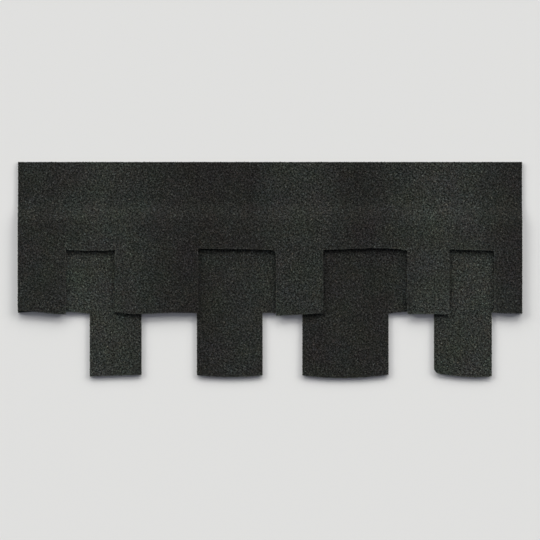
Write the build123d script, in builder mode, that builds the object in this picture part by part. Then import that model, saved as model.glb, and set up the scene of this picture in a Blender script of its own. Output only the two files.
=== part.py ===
from build123d import *
from itertools import cycle
from math import atan, degrees, radians, sin
import os

# A laminated asphalt shingle: two granule-coated sheets, glued one on the other.
# It lies face up. The tabs point to -Y, the headlap is at +Y, and Z = 0 is the surface it rests on.
# The origin is under the middle of the shingle. Lengths are in millimetres.

# The two sheets
unit_length = 1016.0
ply_height = 305.0
ply_thickness = 3.0
ply_stagger = 127.0         # the bottom ply reaches this much lower than the top ply
slot_depth = 127.0          # from the line of the tab feet to the line of the slot tops

# The top ply bends down over the bottom ply's upper edge
bend_run = 52.0

# Rounded corners in the die-cut edges
corner_radius = 13.0

# Self-sealing dashes on the back of the bottom ply's tabs
seal_thickness = 0.8
seal_length = 34.0
seal_width = 11.0
seal_gap = 14.0             # between dashes
seal_margin = 9.0           # kept free at each side of a tab
seal_above_foot = 26.0      # middle of the dashes, above the line of the tab feet

# Release tape on the back of the top ply's headlap
tape_thickness = 0.1
tape_width = 44.0
tape_inset = 12.0           # from the upper edge of the sheet

# Lower edge of each ply, from its left end, as the cutter repeats it along the web.
# Each run is a tab's foot or a slot's top: its width, which of the two lines it follows,
# the heights of its shallow wave above that line, evenly spaced from side to side,
# and the side on which the cutter rounds its corner, if any.
foot = 0.0
slot = slot_depth
top_runs = [
    (96.5, foot, (4.4, 3.4, -0.3, -1.7), "none"),
    (99.5, slot, (1.5, -0.8, 0.6), "none"),
    (167.0, foot, (3.1, -1.2, 1.4, -0.1), "none"),
    (157.5, slot, (3.7, 2.4, 0.8), "right"),
    (94.2, foot, (-4.8, -2.6, 0.3), "none"),
    (170.3, slot, (1.0, 3.0, 4.4, 0.0), "none"),
    (83.6, foot, (-1.7, -1.4, -2.3), "none"),
    (91.4, slot, (2.2, 0.4, -1.2), "none"),
    (110.0, foot, (1.5, -0.5, -2.0), "none"),
]
bottom_runs = [
    (144.8, slot, (1.0, 4.0, -1.2), "none"),
    (104.0, foot, (-0.6, 1.5, 2.9), "none"),
    (112.0, slot, (-0.8, 1.2, 0.4), "none"),
    (132.1, foot, (2.2, -1.8, 2.0), "none"),
    (80.5, slot, (1.0, 0.4, 1.6), "none"),
    (173.5, foot, (1.8, -3.6, 3.3), "none"),
    (91.9, slot, (-0.5, 3.5, 2.0), "none"),
    (116.2, foot, (6.1, 1.0, -2.0, 0.5), "left"),
    (115.0, slot, (1.2, -0.6, 0.8), "none"),
]

# Where the sheets lie
total_height = ply_height + ply_stagger
bottom_foot = -total_height / 2
bottom_top_edge = bottom_foot + ply_height
top_foot = bottom_foot + ply_stagger
top_top_edge = top_foot + ply_height
left_end = -unit_length / 2
right_end = unit_length / 2

bottom_seat = seal_thickness
top_seat = bottom_seat + ply_thickness
headlap_seat = tape_thickness

# The bend is two equal arcs, one after the other, that turn down and back by this angle
bend_drop = top_seat - headlap_seat
bend_angle = 2 * degrees(atan(bend_drop / bend_run))
bend_radius = bend_run / (2 * sin(radians(bend_angle)))


def web_runs(runs):
    """The runs that reach the unit's length, each with the X where it starts."""
    start = left_end
    placed = []
    for run in cycle(runs):
        if start >= right_end:
            return placed
        placed.append((start, *run))
        start += run[0]


def wave_points(start, width, line_y, heights):
    """Points of one run's wave, from its left side to its right side."""
    step = width / (len(heights) - 1)
    return [(start + i * step, line_y + height) for i, height in enumerate(heights)]


def ply_plan(runs, foot_line, top_edge):
    """Face of a ply seen from above: waves joined by the straight sides of the tabs."""
    waves = []
    round_corners = []
    for start, width, line, heights, rounded in web_runs(runs):
        wave = wave_points(start, width, foot_line + line, heights)
        waves.append(wave)
        if rounded == "left":
            round_corners.append(wave[0])
        if rounded == "right":
            round_corners.append(wave[-1])
    web_end = waves[-1][-1]
    with BuildSketch() as plan:
        with BuildLine():
            for wave in waves:
                Spline(*wave)
            for before, after in zip(waves, waves[1:]):
                Line(before[-1], after[0])
            Polyline(waves[0][0], (left_end, top_edge), (web_end[0], top_edge), web_end)
        make_face()
        with Locations((0, foot_line)):
            Rectangle(unit_length, 2 * ply_height, mode=Mode.INTERSECT)
        for corner in round_corners:
            fillet(plan.vertices().sort_by_distance(corner)[0], corner_radius)
    return plan.sketch


# The bottom ply is flat
with BuildPart() as bottom_ply:
    with BuildSketch(Plane.XY.offset(bottom_seat)):
        add(ply_plan(bottom_runs, bottom_foot, bottom_top_edge))
    extrude(amount=ply_thickness)
bottom_ply.part.label = "bottom_ply"

# The top ply: its bent section runs the whole length, and the die-cut outline is left of it
with BuildPart() as top_ply:
    with BuildSketch(Plane.YZ.offset(left_end)):
        with BuildLine():
            reach = (top_foot - slot_depth, top_seat)
            lying = Line(reach, (bottom_top_edge, top_seat))
            down = JernArc(lying @ 1, (1, 0), bend_radius, -bend_angle)
            back = JernArc(down @ 1, down % 1, bend_radius, bend_angle)
            Line(back @ 1, (top_top_edge, headlap_seat))
            offset(amount=ply_thickness, side=Side.LEFT)
        make_face()
    extrude(amount=unit_length)
    with BuildSketch():
        add(ply_plan(top_runs, top_foot, top_top_edge))
    extrude(amount=top_seat + 2 * ply_thickness, mode=Mode.INTERSECT)
top_ply.part.label = "top_ply"

# Dashes of sealant, as many as fit side by side under each tab of the bottom ply
seal_pitch = seal_length + seal_gap
with BuildPart() as seal_dashes:
    with BuildSketch():
        for start, width, line, heights, rounded in web_runs(bottom_runs):
            room = min(width, right_end - start) - 2 * seal_margin
            count = int((room + seal_gap) // seal_pitch)
            if line == foot and count > 0:
                middle = start + seal_margin + room / 2
                with Locations((middle, bottom_foot + seal_above_foot)):
                    with GridLocations(seal_pitch, 0, count, 1):
                        SlotOverall(seal_length, seal_width)
    extrude(amount=seal_thickness)
seal_dashes.part.label = "seal_dashes"

# The release tape runs the whole length of the headlap's back
with BuildPart() as release_tape:
    with BuildSketch():
        with Locations((0, top_top_edge - tape_inset - tape_width / 2)):
            Rectangle(unit_length, tape_width)
    extrude(amount=tape_thickness)
release_tape.part.label = "release_tape"

os.makedirs("parts", exist_ok=True)
export_step(top_ply.part, "parts/top_ply.step")
export_step(bottom_ply.part, "parts/bottom_ply.step")
export_step(seal_dashes.part, "parts/seal_dashes.step")
export_step(release_tape.part, "parts/release_tape.step")
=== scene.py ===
"""Finish of a laminated asphalt shingle: granules, cut edges, sanded back, sealant and film."""

import math

import bpy
import numpy as np
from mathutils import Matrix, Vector
from mathutils.bvhtree import BVHTree


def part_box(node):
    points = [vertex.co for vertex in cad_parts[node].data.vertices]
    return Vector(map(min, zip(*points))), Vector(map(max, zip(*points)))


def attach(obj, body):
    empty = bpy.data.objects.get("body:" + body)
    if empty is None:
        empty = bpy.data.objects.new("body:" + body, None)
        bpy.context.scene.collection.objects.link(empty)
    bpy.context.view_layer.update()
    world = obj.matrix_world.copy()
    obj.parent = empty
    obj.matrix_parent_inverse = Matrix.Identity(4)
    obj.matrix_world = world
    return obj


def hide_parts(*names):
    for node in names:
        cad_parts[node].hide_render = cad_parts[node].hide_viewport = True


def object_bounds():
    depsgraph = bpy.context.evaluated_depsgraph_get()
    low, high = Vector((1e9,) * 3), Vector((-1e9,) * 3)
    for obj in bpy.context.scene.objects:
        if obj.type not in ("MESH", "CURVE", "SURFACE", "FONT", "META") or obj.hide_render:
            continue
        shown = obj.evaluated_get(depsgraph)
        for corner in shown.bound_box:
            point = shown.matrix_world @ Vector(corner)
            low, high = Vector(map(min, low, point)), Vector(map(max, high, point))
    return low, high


MM = 0.001
SEED = 20
PLIES = ("top_ply", "bottom_ply")       # the upper one first
DOWN = Vector((0, 0, -1))
ABOVE_ALL = 1.0                 # a height well above the shingle

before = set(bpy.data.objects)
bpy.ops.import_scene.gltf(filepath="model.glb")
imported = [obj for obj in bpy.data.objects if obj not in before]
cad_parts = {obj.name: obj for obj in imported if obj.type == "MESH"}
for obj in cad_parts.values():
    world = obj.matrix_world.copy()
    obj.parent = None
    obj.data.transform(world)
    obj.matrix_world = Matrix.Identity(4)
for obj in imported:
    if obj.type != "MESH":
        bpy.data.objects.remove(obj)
cad_low, cad_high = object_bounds()

# What counts as one point, one flat face, an upper face or a back, and a cut side
SAME_PLACE = 0.002 * MM
SAME_FLAT = math.radians(0.3)
LEVEL = 0.7                     # an upper face's normal has more Z than this, and a back's as much downwards
UPRIGHT = 0.5                   # a cut side's normal has less Z than this, up or down
ALONG = 0.9                     # and more X than this, either way, where it faces along the web
PLUMB = 0.01 * MM               # an edge that is no longer than this, seen from above, is upright

# The granules stand on a bed of asphalt that lies below the plies' faces
BED_DEPTH = 0.40 * MM
# A granule's middle lies this far below the ply's face, and its top may stand this far above it
GRANULE_DEPTH = 0.25 * MM
GRANULE_PROUD = 0.18 * MM
GRANULE_PITCH = 2.05 * MM
GRANULE_RADIUS = (0.58 * MM, 1.20 * MM)
GRANULE_SPREAD = (1.6, 2.0)     # of the sizes between those two, as the numbers of a beta curve
MOST_GRANULES = 24_000          # in one piece
# Each granule has a cell of its piece's map to itself, and this triangle of that cell is on all its faces
GRANULE_CELL = np.array([(0.14, 0.14), (0.86, 0.14), (0.50, 0.86)])

# Two sorts of crushed stone, pointed and flat-topped, each with six corners and eight faces
STONE_CORNERS = np.array([
    [(1, 0, 0), (0, 1, 0), (-1, 0, 0), (0, -1, 0), (0, 0, 1), (0, 0, -1)],
    [(0, 0.9, -0.6), (-0.8, -0.4, -0.6), (0.8, -0.4, -0.6),
     (0, 0.9, 0.6), (-0.8, -0.4, 0.6), (0.8, -0.4, 0.6)],
])
STONE_FACES = np.array([
    [(0, 1, 4), (1, 2, 4), (2, 3, 4), (3, 0, 4), (1, 0, 5), (2, 1, 5), (3, 2, 5), (0, 3, 5)],
    [(3, 4, 5), (0, 2, 1), (0, 1, 4), (0, 4, 3), (1, 2, 5), (1, 5, 4), (2, 0, 3), (2, 3, 5)],
])
STONE_JITTER = 0.28             # a corner is shifted by up to this share of the stone's radius each way

# A row of granules hangs on each die-cut edge, many of them broken to their lighter core; their lighter
# tones are also partly a painted highlight along the cut edge
RIM_PITCH = 1.5 * MM
RIM_INSET = (0.1 * MM, 0.9 * MM)
BROKEN_AND_HIGHLIGHT_TONES = 0.62             # the tones of that row lie at most this far below the lightest

# Cut edges are ragged at the size of the granules
RIM_STEP = 2.2 * MM
RIM_ROUGHNESS = 0.9 * MM
RIM_GRAIN = {"X": 3 * MM, "Y": 5 * MM}  # size of the ragged shapes, along the web and across it
RIM_BEVEL = 0.3 * MM
CORNER_REACH = 2.2 * RIM_BEVEL  # points of the outline closer than this are joined, to give the bevel room
SLICE_REACH = 1.5 * RIM_BEVEL   # a slice closer than this to a point goes through that point
MAT_RISE = 0.45                 # the glass mat's height in a cut edge, as a share of the ply's thickness

# The bend of the top ply starts at the bottom ply's upper edge
BEND_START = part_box("bottom_ply")[1].y
BEND_RUN = 52 * MM

# The soft rim of a sealant dash
DASH_BEVEL = 0.36 * MM

# Each web gets drops of lighter and darker blends along its length: X in millimetres, and shade
DROPS = {
    "top_ply": [
        (-508, 0.90), (-420, 0.95), (-345, 1.30), (-300, 1.20), (-240, 0.95),
        (-150, 0.72), (-40, 0.80), (20, 1.15), (100, 1.12), (180, 0.72),
        (250, 1.05), (330, 1.42), (400, 1.25), (460, 0.90), (508, 0.80)],
    "bottom_ply": [
        (-508, 0.95), (-440, 1.50), (-300, 1.40), (-225, 1.00), (-150, 0.76), (-90, 0.95),
        (0, 1.10), (60, 0.85), (220, 0.78), (320, 1.30), (440, 1.50), (508, 1.05)],
}
MOST_SHADE = 2.0                # lighter than any drop: the ramp holds each shade as a share of this
DROP_RAGGED = 28 * MM           # a drop's border wanders this far each way along the web
DROP_UNEVEN = (0.97, 1.11)      # and its shade drifts between these
HUE_SHADES = (0.7, 1.4)         # the hue changes with the shade between these, a dark drop is the warmest
PATCH_HUES = 0.30               # the hue also drifts in patches, by up to about a third of this each way
WEB_APART = 5.0                 # keeps the patches of one web unlike those of the next
CLUMP_SHADES = (0.13, 1.93)     # granules clump to spots of these shares of the shade, and between
NOISE_SPAN = (0.3, 0.7)         # holds most values of a noise
WHOLE = (0.0, 1.0)

# A wide soft box beyond the headlap: five soft lamps side by side, at these turns from straight ahead
KEY_TURNS = [math.radians(turn) for turn in (-64, -32, 0, 32, 64)]
KEY_ELEVATION = math.radians(14)
KEY_SOFTNESS = math.radians(17)
KEY_SHARE = 0.83                # of all light on a level face, the rest is the room's
ROOM_TINT = (0.95, 0.98, 1.13)  # the room's light is cool, and the lamps make up for it on a lit face
ROOM_SEEN = 0.85                # strength of the plain backdrop that the camera sees
FLOOR_SIZE = 30.0
FLOOR_COLOUR = (0.74, 0.74, 0.73)

# The view
LENS_MM = 85
SENSOR_MM = 36
FRAME_MARGIN = 1.07


def add_node(tree, kind, inputs=None, **settings):
    """A shader node with its settings, and each input given a value or another node's socket."""
    made = tree.nodes.new("ShaderNode" + kind)
    for name, value in settings.items():
        setattr(made, name, value)
    for name, value in (inputs or {}).items():
        if isinstance(value, bpy.types.NodeSocket):
            tree.links.new(value, made.inputs[name])
        else:
            made.inputs[name].default_value = value
    return made


def maths(tree, operation, first, second=0.0):
    """Socket with the result of one Math node."""
    return add_node(tree, "Math", {0: first, 1: second}, operation=operation).outputs[0]


def remap(tree, value, old, new):
    """Socket with value taken from one range to another, and held inside it."""
    names = {"Value": value, "From Min": old[0], "From Max": old[1], "To Min": new[0], "To Max": new[1]}
    return add_node(tree, "MapRange", names).outputs["Result"]


def ramp(tree, factor, stops):
    """Socket with the colour of a ramp whose stops are (place, grey or colour)."""
    made = add_node(tree, "ValToRGB", {"Fac": factor})
    elements = made.color_ramp.elements
    while len(elements) < len(stops):
        elements.new(1.0)
    for element, (place, colour) in zip(elements, stops):
        element.position = place
        shades = colour if isinstance(colour, tuple) else (colour,) * 3
        element.color = (*shades, 1.0)
    return made.outputs["Color"]


def grey(tree, value):
    """Socket with the grey that has this value."""
    return add_node(tree, "CombineXYZ", {0: value, 1: value, 2: value}).outputs[0]


def mix(tree, factor, first, second, blend_type="MIX"):
    """Socket with two colours mixed."""
    names = {"Factor": factor, "A": first, "B": second}
    return add_node(tree, "Mix", names, data_type="RGBA", blend_type=blend_type).outputs["Result"]


def multiply(tree, first, second):
    """Socket with two colours multiplied."""
    return mix(tree, 1.0, first, second, "MULTIPLY")


def stretched_place(tree, scale=(1, 1, 1), turn=0.0):
    """Socket with Object coordinates, scaled and turned about Z."""
    place = add_node(tree, "TexCoord").outputs["Object"]
    names = {"Vector": place, "Scale": scale, "Rotation": (0, 0, turn)}
    return add_node(tree, "Mapping", names).outputs[0]


def noise(tree, place, scale=1.0, detail=2.0, roughness=0.5):
    """Socket with the value of a Noise texture."""
    names = {"Vector": place, "Scale": scale, "Detail": detail, "Roughness": roughness}
    return add_node(tree, "TexNoise", names).outputs["Fac"]


def new_group(name, inputs, outputs):
    """An empty shader group, its input node and its output node."""
    tree = bpy.data.node_groups.new(name, "ShaderNodeTree")
    for label, kind in inputs:
        tree.interface.new_socket(label, in_out="INPUT", socket_type=kind)
    for label, kind in outputs:
        tree.interface.new_socket(label, in_out="OUTPUT", socket_type=kind)
    return tree, tree.nodes.new("NodeGroupInput"), tree.nodes.new("NodeGroupOutput")


def charcoal_blend_group():
    """Colour of one granule, from its own random numbers and the shade of the blend that it fell in."""
    tree, given, out = new_group(
        "charcoal blend",
        [("Tone", "NodeSocketFloat"), ("Tint", "NodeSocketFloat"),
         ("Shade", "NodeSocketFloat"), ("Patch", "NodeSocketColor")],
        [("Colour", "NodeSocketColor")],
    )
    granule = ramp(tree, given.outputs["Tone"], [
        (0.0, 0.008), (0.22, 0.015), (0.52, 0.026), (0.82, 0.043), (0.96, 0.066), (1.0, 0.110)])
    tint = ramp(tree, given.outputs["Tint"], [
        (0.0, (1.14, 1.03, 0.78)), (0.30, (1.02, 1.06, 0.88)), (0.62, (0.94, 1.08, 0.90)),
        (0.85, (0.92, 1.07, 0.96)), (1.0, (0.88, 1.02, 1.06))])
    place = stretched_place(tree, (1, 1, 0), turn=0.6)
    clumps = noise(tree, place, scale=280.0, detail=1.0, roughness=0.6)
    hue = ramp(tree, remap(tree, given.outputs["Shade"], HUE_SHADES, WHOLE), [
        (0.0, (1.05, 0.945, 1.005)), (0.5, (0.985, 0.995, 1.03)), (1.0, (0.985, 1.0, 1.008))])
    clump = remap(tree, clumps, NOISE_SPAN, CLUMP_SHADES)
    shade = grey(tree, maths(tree, "MULTIPLY", given.outputs["Shade"], clump))
    blend = multiply(tree, multiply(tree, granule, tint), multiply(tree, shade, hue))
    tree.links.new(multiply(tree, blend, given.outputs["Patch"]), out.inputs["Colour"])
    return tree


def blend_drops_group(name, drops, web):
    """Shade of the blend at each place along a web, from drops of (X in millimetres, shade).

    Patch is the slight drift of its hue. It differs from web to web, by the number web.
    """
    tree, _, out = new_group(name, [], [("Shade", "NodeSocketFloat"), ("Patch", "NodeSocketColor")])
    place = stretched_place(tree, (1, 1, 0))
    ragged = noise(tree, place, scale=38.0, detail=4.0, roughness=0.65)
    along = add_node(tree, "SeparateXYZ", {0: place}).outputs["X"]
    moved = maths(tree, "ADD", along, remap(tree, ragged, (0.2, 0.8), (-DROP_RAGGED, DROP_RAGGED)))
    low, high = cad_low.x, cad_high.x
    stops = [((x * MM - low) / (high - low), shade / MOST_SHADE) for x, shade in drops]
    drop = ramp(tree, remap(tree, moved, (low, high), WHOLE), stops)
    least, most = DROP_UNEVEN
    drift = noise(tree, stretched_place(tree, (9, 5, 0)))
    uneven = remap(tree, drift, NOISE_SPAN, (least * MOST_SHADE, most * MOST_SHADE))
    tree.links.new(maths(tree, "MULTIPLY", drop, uneven), out.inputs["Shade"])
    patches = add_node(tree, "TexNoise", {"Vector": place, "W": web, "Scale": 18.0}, noise_dimensions="4D")
    span = {0: patches.outputs["Color"], 1: (PATCH_HUES,) * 3, 2: (1 - PATCH_HUES / 2,) * 3}
    patch = add_node(tree, "VectorMath", span, operation="MULTIPLY_ADD")
    tree.links.new(patch.outputs[0], out.inputs["Patch"])
    return tree


def packed_grit_group():
    """Grit that lies side by side: each grain's two random numbers, its height and where it is."""
    tree, given, out = new_group(
        "packed grit",
        [("Grains per Metre", "NodeSocketFloat")],
        [("Tone", "NodeSocketFloat"), ("Tint", "NodeSocketFloat"),
         ("Height", "NodeSocketFloat"), ("Grain", "NodeSocketFloat")],
    )
    place = add_node(tree, "TexCoord").outputs["Object"]
    names = {"Vector": place, "Scale": given.outputs["Grains per Metre"]}
    cells = add_node(tree, "TexVoronoi", names)
    split = add_node(tree, "SeparateColor", {0: cells.outputs["Color"]})
    rim = add_node(tree, "TexVoronoi", names, feature="DISTANCE_TO_EDGE")
    grain = remap(tree, rim.outputs["Distance"], (0.02, 0.16), WHOLE)
    lift = remap(tree, split.outputs["Blue"], WHOLE, (0.45, 1.0))
    dome = maths(tree, "SUBTRACT", 1.0, cells.outputs["Distance"])
    height = maths(tree, "MULTIPLY", maths(tree, "MULTIPLY", dome, lift), grain)
    tree.links.new(split.outputs["Red"], out.inputs["Tone"])
    tree.links.new(split.outputs["Green"], out.inputs["Tint"])
    tree.links.new(height, out.inputs["Height"])
    tree.links.new(grain, out.inputs["Grain"])
    return tree


def new_material(name, roughness, specular):
    """A material, its node tree and its Principled BSDF."""
    material = bpy.data.materials.new(name)
    material.use_nodes = True
    shader = material.node_tree.nodes["Principled BSDF"]
    shader.inputs["Roughness"].default_value = roughness
    shader.inputs["Specular IOR Level"].default_value = specular
    return material, material.node_tree, shader


def bump(tree, shader, height, distance, strength=1.0):
    """Gives the shader a normal from a height of 0 to 1, where 1 stands distance above 0."""
    made = add_node(tree, "Bump", {"Height": height, "Distance": distance, "Strength": strength})
    tree.links.new(made.outputs["Normal"], shader.inputs["Normal"])


def group_node(tree, group, **inputs):
    """A shader group placed in a material, and each input given a value or another node's socket."""
    made = tree.nodes.new("ShaderNodeGroup")
    made.node_tree = group
    for name, value in inputs.items():
        socket = made.inputs[name.replace("_", " ")]
        if isinstance(value, bpy.types.NodeSocket):
            tree.links.new(value, socket)
        else:
            socket.default_value = value
    return made


def bed_material(name, drops):
    """Fine granules pressed into asphalt, between the coarse ones."""
    material, tree, shader = new_material(name, roughness=0.9, specular=0.12)
    grit = group_node(tree, packed_grit, Grains_per_Metre=820.0).outputs
    fallen = group_node(tree, drops).outputs
    blend = group_node(tree, charcoal_blend, Tone=grit["Tone"], Tint=grit["Tint"],
                       Shade=fallen["Shade"], Patch=fallen["Patch"])
    gaps = ramp(tree, grit["Grain"], [(0.0, 0.35), (1.0, 1.0)])
    tree.links.new(multiply(tree, blend.outputs["Colour"], gaps), shader.inputs["Base Color"])
    bump(tree, shader, grit["Height"], distance=0.45 * MM)
    return material


def granule_material(name, drops):
    """Coarse granules, each with the colour that its own two numbers pick."""
    material, tree, shader = new_material(name, roughness=0.82, specular=0.14)
    tone = add_node(tree, "Attribute", attribute_name="tone").outputs["Fac"]
    tint = add_node(tree, "Attribute", attribute_name="tint").outputs["Fac"]
    fallen = group_node(tree, drops).outputs
    blend = group_node(tree, charcoal_blend, Tone=tone, Tint=tint,
                       Shade=fallen["Shade"], Patch=fallen["Patch"])
    tree.links.new(blend.outputs["Colour"], shader.inputs["Base Color"])
    return material


def cut_edge_material():
    """Black asphalt with its grey filler, where the cutter went through, and the glass mat halfway up."""
    material, tree, shader = new_material("cut asphalt", roughness=0.75, specular=0.2)
    place = stretched_place(tree)
    specks = noise(tree, place, scale=1400.0, detail=4.0, roughness=0.7)
    asphalt = ramp(tree, specks, [(0.35, 0.006), (0.55, 0.014), (0.68, 0.035), (0.78, 0.08)])
    fibres = noise(tree, place, scale=800.0, detail=3.0, roughness=0.7)
    rise = add_node(tree, "Attribute", attribute_name="rise").outputs["Fac"]
    off_mat = maths(tree, "ABSOLUTE", maths(tree, "SUBTRACT", rise, MAT_RISE))
    in_mat = remap(tree, off_mat, (0.06, 0.14), (1.0, 0.0))
    shown = maths(tree, "MULTIPLY", in_mat, remap(tree, fibres, (0.46, 0.60), (0.0, 0.8)))
    tree.links.new(mix(tree, shown, asphalt, (0.16, 0.15, 0.125, 1.0)), shader.inputs["Base Color"])
    torn = noise(tree, place, scale=700.0, detail=4.0, roughness=0.65)
    bump(tree, shader, torn, distance=0.9 * MM)
    return material


def sanded_back_material():
    """Asphalt dusted with fine sand, with the faint marks of the rollers along it."""
    material, tree, shader = new_material("sanded back", roughness=0.85, specular=0.3)
    grit = group_node(tree, packed_grit, Grains_per_Metre=2100.0).outputs
    sand = ramp(tree, grit["Tone"], [(0.0, 0.012), (0.45, 0.028), (0.8, 0.07), (1.0, 0.17)])
    streaks = noise(tree, stretched_place(tree, (3.0, 60.0, 1.0)), detail=3.0, roughness=0.55)
    blotches = noise(tree, stretched_place(tree), scale=34.0, detail=4.0, roughness=0.6)
    rolled = remap(tree, streaks, NOISE_SPAN, (0.8, 1.2))
    dusting = maths(tree, "MULTIPLY", rolled, remap(tree, blotches, NOISE_SPAN, (0.65, 1.35)))
    tree.links.new(multiply(tree, sand, grey(tree, dusting)), shader.inputs["Base Color"])
    bump(tree, shader, grit["Height"], distance=0.15 * MM)
    return material


def sealant_material():
    """Glossy self-sealing asphalt with a little dust on it."""
    material, tree, shader = new_material("sealant", roughness=0.3, specular=0.5)
    place = stretched_place(tree)
    skin = noise(tree, place, scale=110.0, detail=3.0)
    dust = noise(tree, place, scale=1300.0, detail=3.0)
    tree.links.new(ramp(tree, dust, [(0.56, 0.005), (0.72, 0.03)]), shader.inputs["Base Color"])
    tree.links.new(remap(tree, dust, (0.52, 0.74), (0.16, 0.6)), shader.inputs["Roughness"])
    bump(tree, shader, skin, distance=0.5 * MM)
    return material


def film_material():
    """Thin milky release film, slightly creased."""
    material, tree, shader = new_material("release film", roughness=0.35, specular=0.5)
    creases = noise(tree, stretched_place(tree, (18.0, 70.0, 1.0)), detail=4.0, roughness=0.6)
    haze = noise(tree, stretched_place(tree), scale=25.0, detail=3.0)
    colour = ramp(tree, haze, [(0.3, (0.50, 0.52, 0.52)), (0.7, (0.62, 0.64, 0.64))])
    tree.links.new(colour, shader.inputs["Base Color"])
    tree.links.new(remap(tree, haze, NOISE_SPAN, (0.28, 0.45)), shader.inputs["Roughness"])
    bump(tree, shader, creases, distance=0.6 * MM, strength=0.6)
    return material


def select_only(piece):
    """Makes piece the one selected and active object."""
    bpy.ops.object.select_all(action="DESELECT")
    piece.select_set(True)
    bpy.context.view_layer.objects.active = piece


def edit_all(piece):
    """Goes into edit mode with the whole piece selected."""
    select_only(piece)
    bpy.ops.object.mode_set(mode="EDIT")
    bpy.ops.mesh.select_all(action="SELECT")


def edit_some(piece, kind, chosen):
    """Goes into edit mode with only the chosen edges or faces of a piece selected, given by number."""
    select_only(piece)
    bpy.ops.object.mode_set(mode="EDIT")
    bpy.ops.mesh.select_mode(type=kind)
    bpy.ops.mesh.select_all(action="DESELECT")
    bpy.ops.object.mode_set(mode="OBJECT")
    elements = piece.data.edges if kind == "EDGE" else piece.data.polygons
    for number in chosen:
        elements[number].select = True
    bpy.ops.object.mode_set(mode="EDIT")


def join_points(piece, reach):
    """Joins the points of a piece that lie within reach of one another."""
    edit_all(piece)
    bpy.ops.mesh.remove_doubles(threshold=reach)
    bpy.ops.object.mode_set(mode="OBJECT")


def plain_copy(node, name):
    """A piece with the node's own shape, its loose triangles joined into whole faces."""
    piece = bpy.data.objects.new(name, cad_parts[node].data.copy())
    bpy.context.scene.collection.objects.link(piece)
    piece.data.materials.clear()
    edit_all(piece)
    bpy.ops.mesh.remove_doubles(threshold=SAME_PLACE)
    bpy.ops.mesh.dissolve_limited(angle_limit=SAME_FLAT)
    bpy.ops.object.mode_set(mode="OBJECT")
    return piece


def apply_modifier(piece, kind, **settings):
    """Adds one modifier and applies it at once."""
    select_only(piece)
    made = piece.modifiers.new(kind.lower(), kind)
    for name, value in settings.items():
        setattr(made, name, value)
    bpy.ops.object.modifier_apply(modifier=made.name)


def is_cut_side(face):
    """Whether a face of a ply stands upright, as the cutter leaves it."""
    return abs(face.normal.z) < UPRIGHT


def length_from_above(mesh, edge):
    """Length of an edge as seen from above."""
    start, end = (mesh.vertices[point].co for point in edge.vertices)
    return (start - end).xy.length


def square_walls(piece):
    """Takes the slanting edges out of the cut sides, so that they are upright strips."""
    mesh = piece.data
    cut_sides = {}
    for face in mesh.polygons:
        for edge in face.edge_keys:
            cut_sides[edge] = cut_sides.get(edge, 0) + is_cut_side(face)
    slanting = [edge.index for edge in mesh.edges
                if cut_sides[edge.key] == 2 and length_from_above(mesh, edge) > PLUMB]
    edit_some(piece, "EDGE", slanting)
    bpy.ops.mesh.dissolve_edges(use_verts=False, use_face_split=False)
    bpy.ops.object.mode_set(mode="OBJECT")
    join_points(piece, CORNER_REACH)


def slice_walls(piece):
    """Cuts the sides that face along the web into upright strips, RIM_STEP wide."""
    for place in np.arange(cad_low.y + RIM_STEP, cad_high.y, RIM_STEP):
        facing = [face.index for face in piece.data.polygons if abs(face.normal.x) > ALONG]
        edit_some(piece, "FACE", facing)
        bpy.ops.mesh.bisect(plane_co=(0, place, 0), plane_no=(0, 1, 0), threshold=SLICE_REACH)
        bpy.ops.object.mode_set(mode="OBJECT")


def long_side_edges(mesh):
    """Numbers of the cut sides' edges that are longer than RIM_STEP."""
    sides = {edge for face in mesh.polygons if is_cut_side(face) for edge in face.edge_keys}
    return [edge.index for edge in mesh.edges
            if edge.key in sides and length_from_above(mesh, edge) > RIM_STEP]


def divide_rim(piece):
    """Halves the cut sides' long edges until none is longer than RIM_STEP."""
    while too_long := long_side_edges(piece.data):
        edit_some(piece, "EDGE", too_long)
        bpy.ops.mesh.subdivide(number_cuts=1)
        bpy.ops.object.mode_set(mode="OBJECT")


def upper_rim(mesh):
    """Ends of each edge between the upper face and a cut side, with the way that side faces."""
    upper = {edge for face in mesh.polygons if face.normal.z > LEVEL for edge in face.edge_keys}
    points = mesh.vertices
    return [(points[edge[0]].co.copy(), points[edge[1]].co.copy(), face.normal.copy())
            for face in mesh.polygons if is_cut_side(face)
            for edge in face.edge_keys if edge in upper]


def sink_bed(sheet, lies_on_ply):
    """Lowers the upper face to the asphalt bed, and a back that lies on the other ply down to its bed.

    The attribute rise is 0 at the back and 1 at the upper face, for the glass mat in between.
    """
    backs = {i for face in sheet.data.polygons if face.normal.z < -UPRIGHT for i in face.vertices}
    rise = sheet.data.attributes.new("rise", "FLOAT", "POINT")
    for point in sheet.data.vertices:
        rise.data[point.index].value = float(point.index not in backs)
        if point.index not in backs:
            point.co.z -= BED_DEPTH
        elif lies_on_ply:
            bent = min(max((point.co.y - BEND_START) / BEND_RUN, 0.0), 1.0)
            point.co.z -= BED_DEPTH * (1 - bent)


def roughen_rim(sheet):
    """Shifts the points of the cut sides along and across the web."""
    for direction, grain in RIM_GRAIN.items():
        texture = bpy.data.textures.new(f"{sheet.name} {direction}", "CLOUDS")
        texture.noise_scale = grain
        texture.noise_depth = 2
        apply_modifier(sheet, "DISPLACE", texture=texture, direction=direction,
                       strength=RIM_ROUGHNESS, texture_coords="LOCAL")


def paint_faces(piece, upper, edge, back):
    """Gives the upper faces, the cut edges and the back their own materials."""
    for material in (upper, edge, back):
        piece.data.materials.append(material)
    for face in piece.data.polygons:
        face.material_index = 0 if face.normal.z > LEVEL else 2 if face.normal.z < -LEVEL else 1


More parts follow.
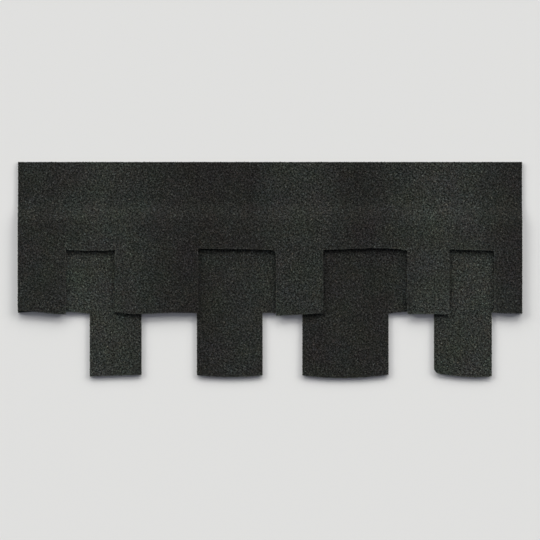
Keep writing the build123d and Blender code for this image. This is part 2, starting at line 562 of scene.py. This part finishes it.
def ply_sheet(node, bed, lies_on_ply):
    """The sheet of one ply: its asphalt bed, ragged cut edges and sanded back. Returns the rim it had."""
    sheet = plain_copy(node, node + "_sheet")
    rim = upper_rim(sheet.data)
    sink_bed(sheet, lies_on_ply)
    square_walls(sheet)
    slice_walls(sheet)
    divide_rim(sheet)
    roughen_rim(sheet)
    apply_modifier(sheet, "BEVEL", width=RIM_BEVEL, segments=2, use_clamp_overlap=False,
                   limit_method="ANGLE", angle_limit=math.radians(50))
    join_points(sheet, SAME_PLACE)
    paint_faces(sheet, bed, cut_edge, sanded_back)
    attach(sheet, "root")
    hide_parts(node)
    return rim


def random_turns(chance, count):
    """Rotation matrices of count random turns, as an array."""
    quaternions = chance.normal(size=(count, 4))
    w, x, y, z = (quaternions / np.linalg.norm(quaternions, axis=1)[:, None]).T
    return np.stack([
        1 - 2 * (y * y + z * z), 2 * (x * y - z * w), 2 * (x * z + y * w),
        2 * (x * y + z * w), 1 - 2 * (x * x + z * z), 2 * (y * z - x * w),
        2 * (x * z - y * w), 2 * (y * z + x * w), 1 - 2 * (x * x + y * y),
    ], axis=1).reshape(count, 3, 3)


def crushed_stones(places, chance):
    """Corners and faces of a stone at each place: one of the sorts, with shifted corners, turned at random.

    A stone that would stand too proud is pressed flatter.
    """
    count = len(places)
    sorts = chance.integers(0, len(STONE_CORNERS), count)
    corners = STONE_CORNERS[sorts]
    shapes = corners + chance.uniform(-STONE_JITTER, STONE_JITTER, corners.shape)
    turned = np.einsum("nij,nkj->nki", random_turns(chance, count), shapes)
    small, large = GRANULE_RADIUS
    radius = small + (large - small) * chance.beta(*GRANULE_SPREAD, count)
    turned *= radius[:, None, None]
    most = GRANULE_DEPTH + GRANULE_PROUD
    tops = turned[:, :, 2].max(axis=1)
    turned[:, :, 2] *= np.minimum(1.0, most / tops)[:, None]
    return turned + places[:, None, :], STONE_FACES[sorts]


def granule_piece(name, places, tones, material, chance):
    """One mesh of crushed granules, each with its own tone, tint and cell of the map to bake on."""
    corners, faces = crushed_stones(places, chance)
    count, corner_count = corners.shape[:2]
    shift = (np.arange(count) * corner_count)[:, None, None]
    mesh = bpy.data.meshes.new(name)
    mesh.from_pydata(corners.reshape(-1, 3), [], (faces + shift).reshape(-1, 3))
    for label, numbers in (("tone", tones), ("tint", chance.random(count))):
        own = mesh.attributes.new(label, "FLOAT", "FACE")
        own.data.foreach_set("value", np.repeat(numbers, faces.shape[1]))
    across = math.ceil(math.sqrt(count))
    cells = np.stack(np.divmod(np.arange(count), across), axis=1)[:, None, None, :]
    drawn = np.broadcast_to((cells + GRANULE_CELL) / across, (*faces.shape, 2))
    mesh.uv_layers.new(name="OFBake").data.foreach_set("uv", drawn.ravel())
    mesh.materials.append(material)
    piece = bpy.data.objects.new(name, mesh)
    bpy.context.scene.collection.objects.link(piece)
    return piece


def ply_trees():
    """For each ply, the upper one first, a search tree of its faces."""
    trees = {}
    for ply in PLIES:
        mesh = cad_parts[ply].data
        points = [point.co for point in mesh.vertices]
        trees[ply] = BVHTree.FromPolygons(points, [face.vertices for face in mesh.polygons])
    return trees


def seen_from_above(x, y):
    """The ply that lies uppermost at a place, and the place of a granule there."""
    for ply, tree in PLY_TREES.items():
        spot = tree.ray_cast(Vector((x, y, ABOVE_ALL)), DOWN)[0]
        if spot is not None:
            return ply, (spot.x, spot.y, spot.z - GRANULE_DEPTH)
    return None, None


def face_places(chance):
    """Places of the coarse granules on each ply's open face, in jittered rows, and their tones."""
    pitch = GRANULE_PITCH * 1.0
    row_pitch = pitch * math.sqrt(3) / 2
    found = {ply: [] for ply in PLIES}
    rows = int((cad_high.y - cad_low.y) / row_pitch)
    columns = int((cad_high.x - cad_low.x) / pitch)
    for row in range(rows):
        shifts = chance.uniform(-0.5, 0.5, (columns, 2)) * (pitch, row_pitch)
        for column in range(columns):
            x = cad_low.x + (column + 0.25 + 0.5 * (row % 2)) * pitch + shifts[column, 0]
            y = cad_low.y + (row + 0.5) * row_pitch + shifts[column, 1]
            ply, place = seen_from_above(x, y)
            if ply:
                found[ply].append((*place, chance.random()))
    return found


def rim_places(ply, rim, chance):
    """Places of the granules along a ply's open upper edges, and their tones: broken ones are light, which
    is also partly a painted highlight along the edge.
    """
    found = []
    for start, end, outwards in rim:
        steps = max(1, round((end - start).length / RIM_PITCH))
        for step in range(steps):
            inset = chance.uniform(*RIM_INSET)
            spot = start.lerp(end, (step + chance.random()) / steps) - outwards * inset
            above, place = seen_from_above(spot.x, spot.y)
            if above == ply:
                # lighter tones: broken granule cores, and partly a painted highlight along the cut edge
                found.append((*place, 1 - BROKEN_AND_HIGHLIGHT_TONES * chance.random()))
    return found


def scatter_granules(ply, places, material, chance):
    """The granules of one ply, in as many pieces as it takes, each spread over the whole ply."""
    pieces = math.ceil(len(places) / MOST_GRANULES)
    for number in range(pieces):
        share = places[number::pieces]
        piece = granule_piece(f"{ply}_granules_{number + 1}", share[:, :3], share[:, 3], material, chance)
        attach(piece, "root")


def soft_dashes():
    """The sealant dashes, with the soft rounded rims of a hot-laid dab."""
    dashes = plain_copy("seal_dashes", "sealant_dashes")
    apply_modifier(dashes, "BEVEL", width=DASH_BEVEL, segments=3,
                   limit_method="ANGLE", angle_limit=math.radians(60))
    dashes.data.materials.append(sealant_material())
    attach(dashes, "root")
    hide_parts("seal_dashes")


def lay_floor():
    """A plain pale floor, level with the surface that the shingle lies on."""
    bpy.ops.object.select_all(action="DESELECT")
    bpy.ops.mesh.primitive_plane_add(size=FLOOR_SIZE)
    floor = bpy.context.object
    floor.name = "floor"
    material, _, shader = new_material("pale floor", roughness=0.9, specular=0.2)
    shader.inputs["Base Color"].default_value = (*FLOOR_COLOUR, 1)
    floor.data.materials.append(material)


def light_room():
    """A wide soft box beyond the headlap, and an even, slightly cool room with a plain backdrop."""
    for number, turn in enumerate(KEY_TURNS, start=1):
        key = bpy.data.lights.new(f"key {number}", "SUN")
        key.angle = KEY_SOFTNESS
        key.energy = math.pi * KEY_SHARE / math.sin(KEY_ELEVATION) / len(KEY_TURNS)
        key.color = [(1 - (1 - KEY_SHARE) * tint) / KEY_SHARE for tint in ROOM_TINT]
        lamp = bpy.data.objects.new(f"key {number}", key)
        lamp.rotation_euler = (KEY_ELEVATION - math.pi / 2, 0, turn)
        bpy.context.scene.collection.objects.link(lamp)
    world = bpy.data.worlds.new("room")
    bpy.context.scene.world = world
    world.use_nodes = True
    tree = world.node_tree
    background = tree.nodes["Background"]
    seen = add_node(tree, "LightPath").outputs["Is Camera Ray"]
    tree.links.new(remap(tree, seen, WHOLE, (1 - KEY_SHARE, ROOM_SEEN)), background.inputs["Strength"])
    tree.links.new(mix(tree, seen, (*ROOM_TINT, 1), (1, 1, 1, 1)), background.inputs["Color"])


def place_camera():
    """Looks straight down on the weather face, with the whole shingle in view."""
    middle = (cad_low + cad_high) / 2
    data = bpy.data.cameras.new("camera")
    data.lens = LENS_MM
    data.sensor_width = SENSOR_MM
    camera = bpy.data.objects.new("camera", data)
    width = (cad_high.x - cad_low.x) * FRAME_MARGIN
    camera.location = (middle.x, middle.y, cad_high.z + width * LENS_MM / SENSOR_MM)
    bpy.context.scene.collection.objects.link(camera)
    bpy.context.scene.camera = camera


bpy.context.scene.view_settings.view_transform = "Standard"

# The finishes that both plies share
charcoal_blend = charcoal_blend_group()
packed_grit = packed_grit_group()
cut_edge = cut_edge_material()
sanded_back = sanded_back_material()

# The pieces
PLY_TREES = ply_trees()
chance = np.random.default_rng(SEED)
spots = face_places(chance)
for web, ply in enumerate(PLIES):
    drops = blend_drops_group(ply + " blend drops", DROPS[ply], web * WEB_APART)
    rim = ply_sheet(ply, bed_material(ply + " bed", drops), lies_on_ply=ply == "top_ply")
    places = np.array(spots[ply] + rim_places(ply, rim, chance))
    scatter_granules(ply, places, granule_material(ply + " granules", drops), chance)
soft_dashes()
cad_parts["release_tape"].material_slots[0].material = film_material()

lay_floor()
light_room()
place_camera()
